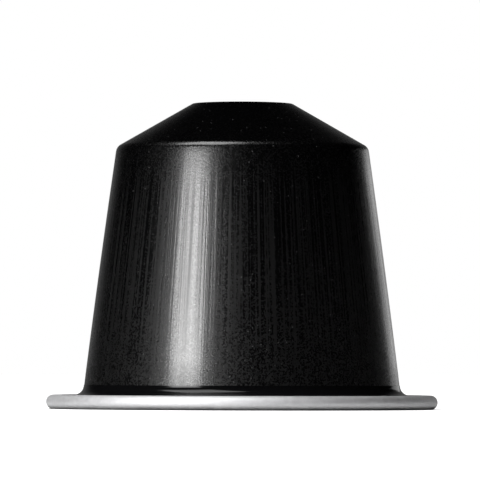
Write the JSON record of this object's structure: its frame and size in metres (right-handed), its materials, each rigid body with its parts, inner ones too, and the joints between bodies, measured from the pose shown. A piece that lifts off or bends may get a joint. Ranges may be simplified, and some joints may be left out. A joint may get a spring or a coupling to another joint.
{
  "type": "coffee pod",
  "caption": "Sealed single-serve coffee pod: tapered drawn aluminium cup with a conical shoulder, recessed top, rolled rim, sealing ring and foil lid.",
  "frame": {"origin": "on the pod's axis, in the plane that the rolled rim rests on", "axes": "+Z along the pod's axis, from the rim to the narrow recessed end; X and Y are any two square directions, as the pod is round"},
  "size_m": [0.037, 0.037, 0.0289],
  "materials": {
    "lacquered_aluminium": "satin black lacquer with fine lines along the draw",
    "bare_aluminium": "bare satin, finely mottled",
    "elastomer": "smooth satin black"
  },
  "bodies": {
    "root": {"cup": "lacquered_aluminium", "seal_ring": "elastomer", "foil_lid": "bare_aluminium"}
  },
  "joints": []
}
